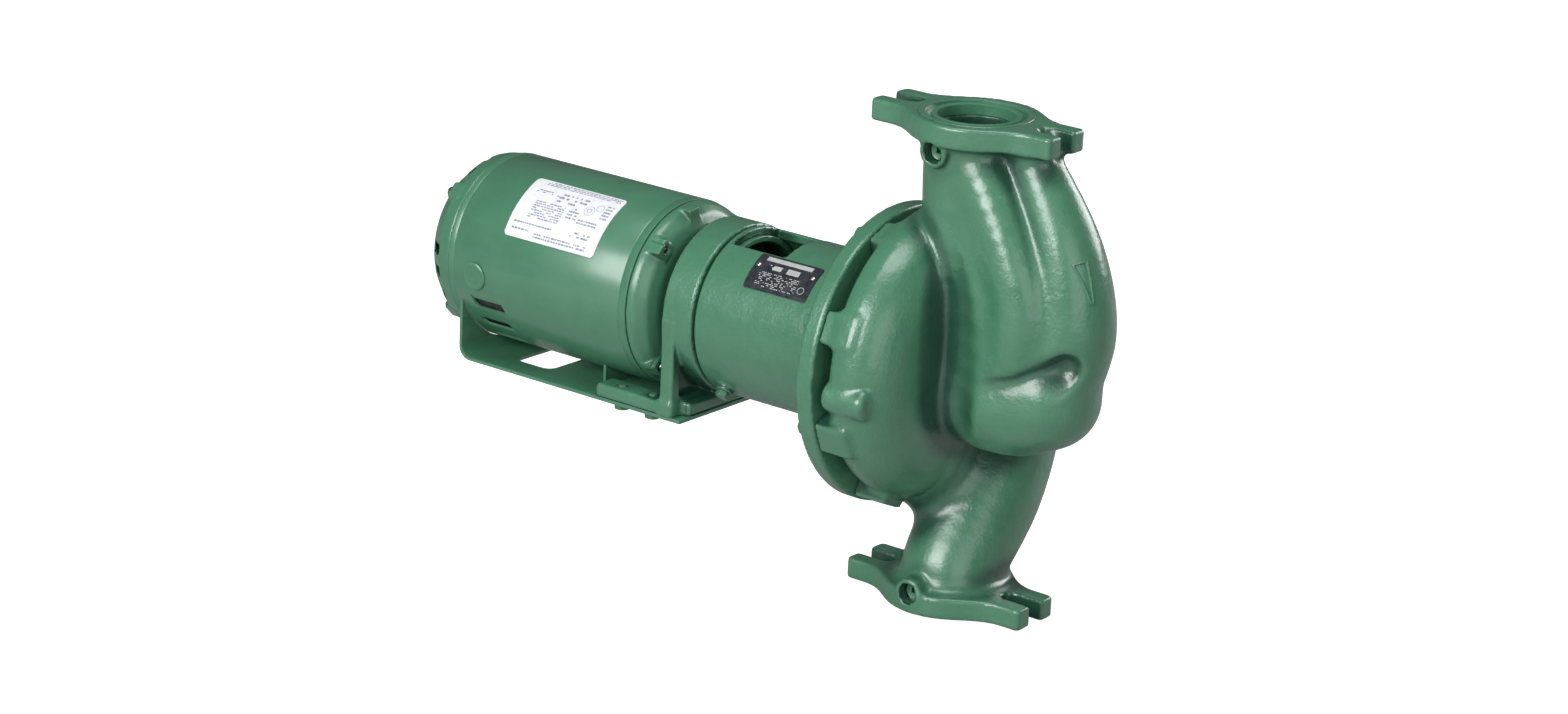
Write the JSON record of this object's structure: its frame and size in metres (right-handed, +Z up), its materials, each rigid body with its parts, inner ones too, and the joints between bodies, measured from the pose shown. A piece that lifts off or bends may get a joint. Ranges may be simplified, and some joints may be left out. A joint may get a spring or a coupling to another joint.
{
  "type": "in-line centrifugal pump",
  "caption": "In-line centrifugal circulator pump: cast volute casing between two slotted pipe flanges, bearing bracket, flexible coupling and a horizontal electric motor on a bracket.",
  "frame": {"origin": "where the shaft axis crosses the axis of the two pipe flanges", "axes": "+X along the shaft from the motor towards the pump's front, +Z up the pipe line, -Y the nameplate side"},
  "size_m": [0.6835, 0.2654, 0.4184],
  "materials": {
    "green_paint": "semi-gloss mid green enamel over cast iron and sheet steel",
    "steel": "machined steel",
    "zinc_plated_steel": "dull zinc plate",
    "bearing_brass": "pressed brass cage with steel balls",
    "bronze": "cast bronze, machined faces",
    "rubber": "matt black moulded rubber",
    "seal_ceramic": "lapped ceramic",
    "seal_carbon": "lapped carbon graphite",
    "lamination_steel": "stacked electrical steel",
    "enamelled_copper": "varnished copper windings",
    "fan_plastic": "moulded plastic",
    "label_film": null,
    "nameplate": "black plate with bare metal bands",
    "gasket_fibre": "compressed fibre"
  },
  "bodies": {
    "frame": {"pump_casing": "green_paint", "bearing_bracket": "green_paint", "rear_end_bell": "green_paint", "front_end_bell": "green_paint", "motor_bracket": "green_paint", "motor_shell": "green_paint", "stator_core": "lamination_steel", "casing_gasket": "gasket_fibre", "wear_ring": "bronze", "bearing_outer_ring_rear": "steel", "bearing_outer_ring_front": "steel", "stator_coils_rear": "enamelled_copper", "stator_coils_front": "enamelled_copper", "bearing_retaining_ring": "steel", "motor_base": "green_paint", "pump_nameplate": "nameplate", "lead_hole_cover": "green_paint", "seal_seat": "seal_ceramic", "motor_bearing_front": "bronze", "motor_bearing_rear": "bronze", "gauge_plug_upper": "green_paint", "gauge_plug_lower": "green_paint", "motor_label": "label_film", "casing_screw_1": "green_paint", "casing_screw_2": "green_paint", "casing_screw_3": "green_paint", "casing_screw_4": "green_paint", "casing_screw_5": "green_paint", "casing_screw_6": "green_paint", "casing_screw_7": "green_paint", "casing_screw_8": "green_paint", "bracket_screw_1": "green_paint", "bracket_screw_2": "green_paint", "motor_through_bolt_1": "steel", "motor_through_bolt_2": "steel", "motor_through_bolt_3": "steel", "motor_through_bolt_4": "steel", "base_screw_1": "zinc_plated_steel", "base_screw_2": "zinc_plated_steel", "base_screw_3": "zinc_plated_steel", "base_screw_4": "zinc_plated_steel", "nameplate_rivet_1": "steel", "nameplate_rivet_2": "steel"},
    "motor_rotor": {"motor_shaft": "steel", "rotor_core": "lamination_steel", "cooling_fan": "fan_plastic", "drive_coupling_hub": "green_paint", "drive_hub_set_screw": "steel", "coupling_insert": "rubber"},
    "pump_rotor": {"pump_shaft": "steel", "driven_coupling_hub": "green_paint", "driven_hub_set_screw": "steel", "bearing_inner_ring_front": "steel", "bearing_inner_ring_rear": "steel", "seal_rotating_head": "seal_carbon", "seal_spring": "steel", "impeller": "bronze", "impeller_screw": "steel"},
    "front_balls": {"bearing_balls_front": "bearing_brass"},
    "rear_balls": {"bearing_balls_rear": "bearing_brass"}
  },
  "joints": [
    {"name": "motor_shaft_spin", "type": "hinge", "parent": "frame", "child": "motor_rotor", "pos_m": [-0.4, 0, 0], "axis": [1, 0, 0], "continuous": true},
    {"name": "pump_shaft_spin", "type": "hinge", "parent": "frame", "child": "pump_rotor", "pos_m": [-0.12, 0, 0], "axis": [1, 0, 0], "continuous": true},
    {"name": "front_balls_orbit", "type": "hinge", "parent": "frame", "child": "front_balls", "pos_m": [-0.104, 0, 0], "axis": [1, 0, 0], "continuous": true},
    {"name": "rear_balls_orbit", "type": "hinge", "parent": "frame", "child": "rear_balls", "pos_m": [-0.138, 0, 0], "axis": [1, 0, 0], "continuous": true}
  ],
  "couplings": [
    {"joint": "pump_shaft_spin", "follows": "motor_shaft_spin", "ratio": 1},
    {"joint": "front_balls_orbit", "follows": "motor_shaft_spin", "ratio": 0.43},
    {"joint": "rear_balls_orbit", "follows": "motor_shaft_spin", "ratio": 0.43}
  ]
}
